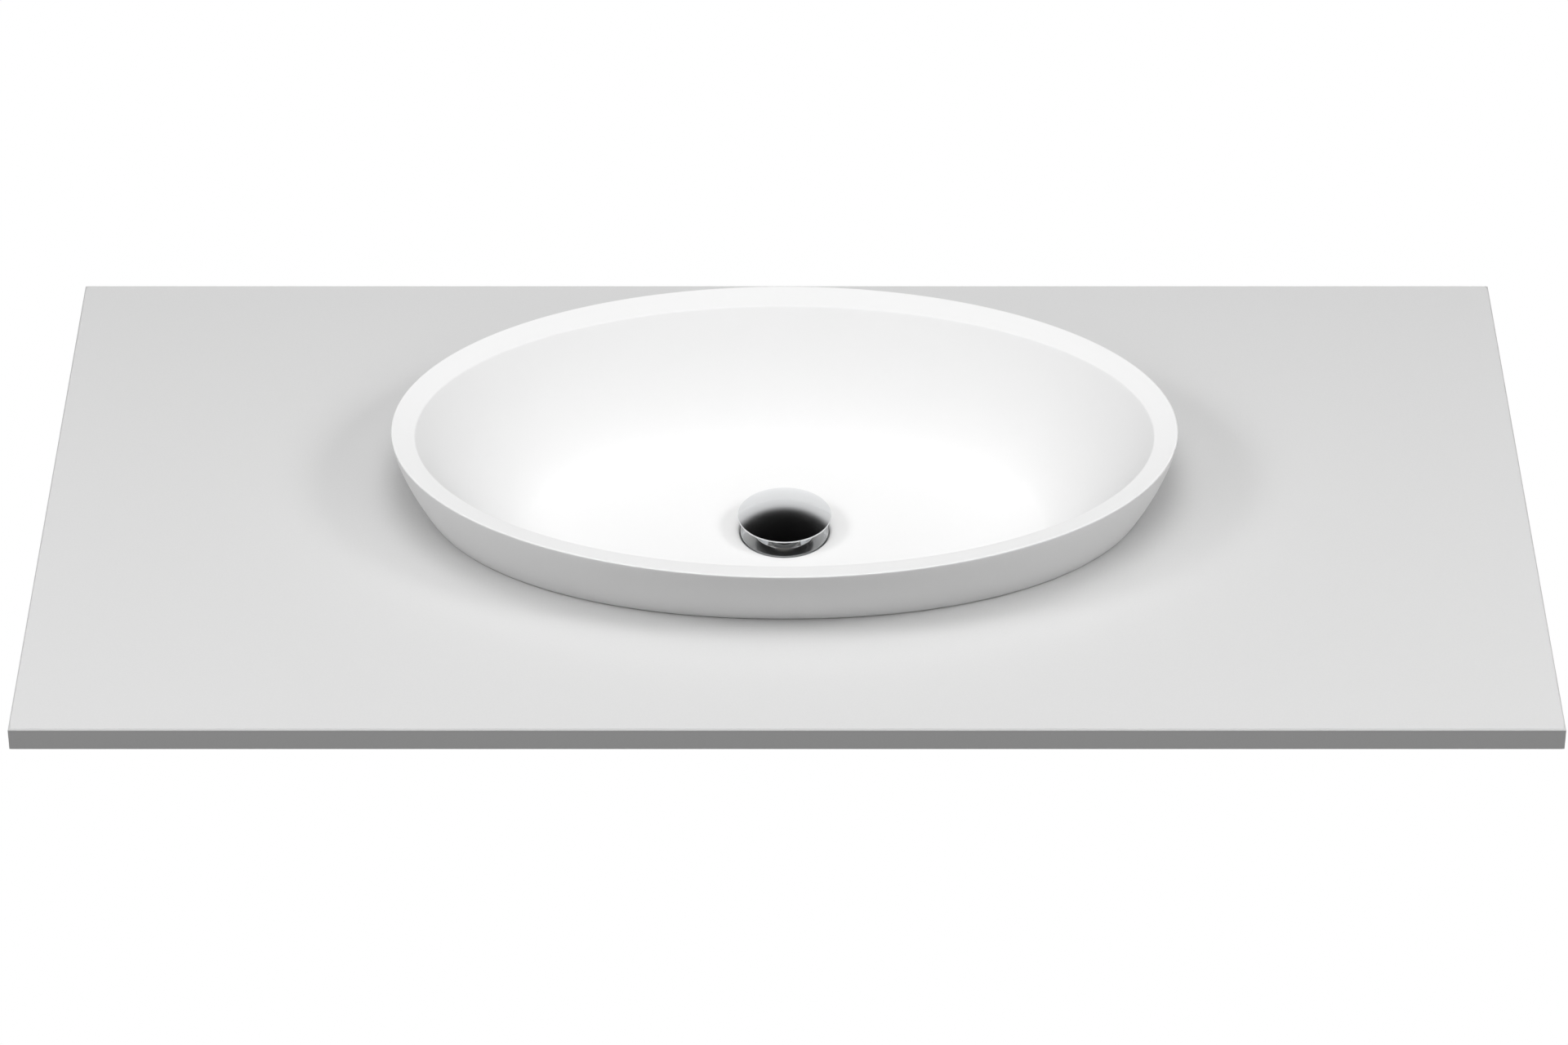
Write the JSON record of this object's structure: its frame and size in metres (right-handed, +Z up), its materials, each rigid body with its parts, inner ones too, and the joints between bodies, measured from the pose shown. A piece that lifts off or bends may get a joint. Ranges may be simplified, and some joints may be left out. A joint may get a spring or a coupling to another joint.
{
  "type": "semi-inset basin",
  "caption": "Oval semi-inset washbasin with a sloping rim land, a bench ledge and a domed push-open waste.",
  "frame": {"origin": "centre of the basin's outline, on the plane of the benchtop that its ledge rests on", "axes": "+X along the basin, +Y from its front to its back, +Z up along the axis of the waste"},
  "size_m": [0.48, 0.312, 0.1481],
  "materials": {
    "cast_body": "matt cast solid surface",
    "chrome_plate": "polished",
    "turned_brass": "turned",
    "black_rubber": "moulded",
    "sealing_foam": "closed-cell foam",
    "nylon": "moulded",
    "grey_acetal": "moulded",
    "white_acetal": "moulded",
    "red_fibre": "pressed fibre",
    "spring_steel": "drawn wire"
  },
  "bodies": {
    "basin": {"basin": "cast_body", "waste_body": "chrome_plate", "flange_seal": "sealing_foam", "lower_seal": "black_rubber", "slip_washer": "nylon", "back_nut": "turned_brass", "cartridge_housing": "white_acetal", "cartridge_cap": "grey_acetal", "stem_o_ring": "black_rubber", "cartridge_washer": "red_fibre", "return_spring": "spring_steel"},
    "plug": {"plug_cap": "chrome_plate", "cap_core": "white_acetal", "cap_seal": "black_rubber", "cap_stud": "turned_brass", "stud_locknut": "turned_brass", "plunger": "white_acetal"},
    "index": {"index_ring": "nylon"}
  },
  "joints": [
    {"name": "plug_slide", "type": "slide", "parent": "basin", "child": "plug", "axis": [0, 0, 1], "range_m": [-0.0104, 0], "stiffness_N_per_m": 500, "springref_m": 0.006, "deforming": ["return_spring"]},
    {"name": "index_turn", "type": "hinge", "parent": "basin", "child": "index", "pos_m": [0, 0, -0.05715], "axis": [0, 0, 1], "range_deg": [-0.3, 70.3]}
  ],
  "couplings": [
    {"joint": "index_turn", "follows": "plug_slide", "rad_per_m": -117.47}
  ]
}
